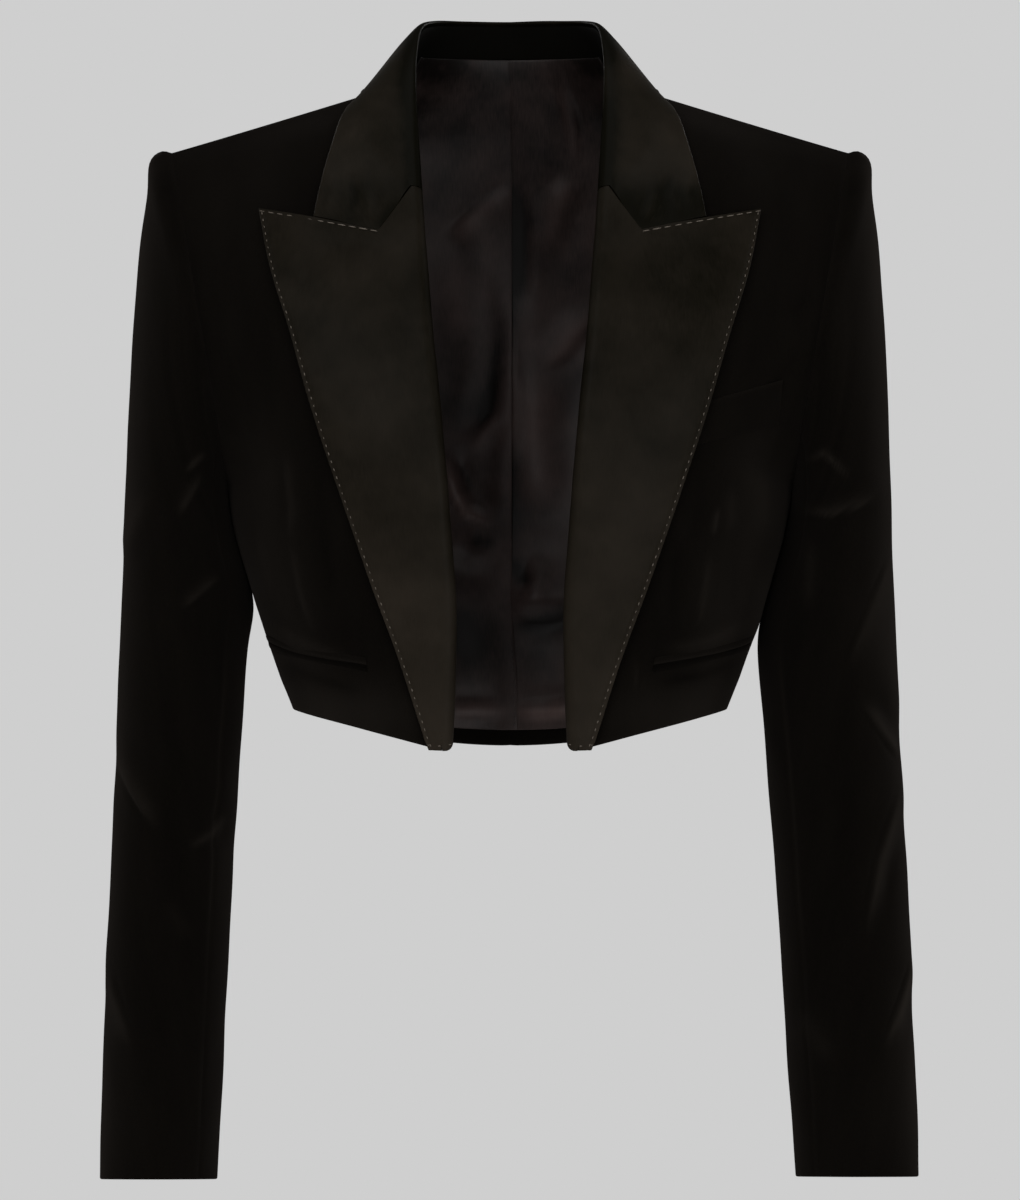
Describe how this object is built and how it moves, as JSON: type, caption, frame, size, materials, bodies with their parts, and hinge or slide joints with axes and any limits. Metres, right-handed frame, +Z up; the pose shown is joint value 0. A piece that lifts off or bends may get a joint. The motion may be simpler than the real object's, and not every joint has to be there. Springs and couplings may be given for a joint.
{
  "type": "cropped blazer",
  "caption": "Cropped open-front dinner blazer: velvet body and sleeves, long satin peak lapels and collar, lined back, hollow as worn.",
  "frame": {"origin": "on the centre plane between the shoulders, at the level where the collar crosses the shoulder seams; the wearer's shoulders and neck hold the blazer there", "axes": "+Z up, +Y towards the wearer's back, +X towards the wearer's left"},
  "size_m": [0.4888, 0.2215, 0.6946],
  "materials": {
    "velvet": "black cotton velvet, short upright pile",
    "lapel_satin": "warm black duchesse satin, soft sheen",
    "stand_cloth": "matt black collar cloth",
    "lining_satin": "dark plum-black lining satin"
  },
  "bodies": {
    "root": {"front_right": "velvet", "front_left": "velvet", "back_right": "velvet", "back_left": "velvet", "top_sleeve_right": "velvet", "top_sleeve_left": "velvet", "under_sleeve_right": "velvet", "under_sleeve_left": "velvet", "breast_welt": "velvet", "jet_lower_right": "velvet", "jet_lower_left": "velvet", "jet_upper_right": "velvet", "jet_upper_left": "velvet", "lapel_right": "lapel_satin", "lapel_left": "lapel_satin", "collar_fall": "lapel_satin", "collar_stand": "stand_cloth", "lining_right": "lining_satin", "lining_left": "lining_satin"}
  },
  "joints": []
}
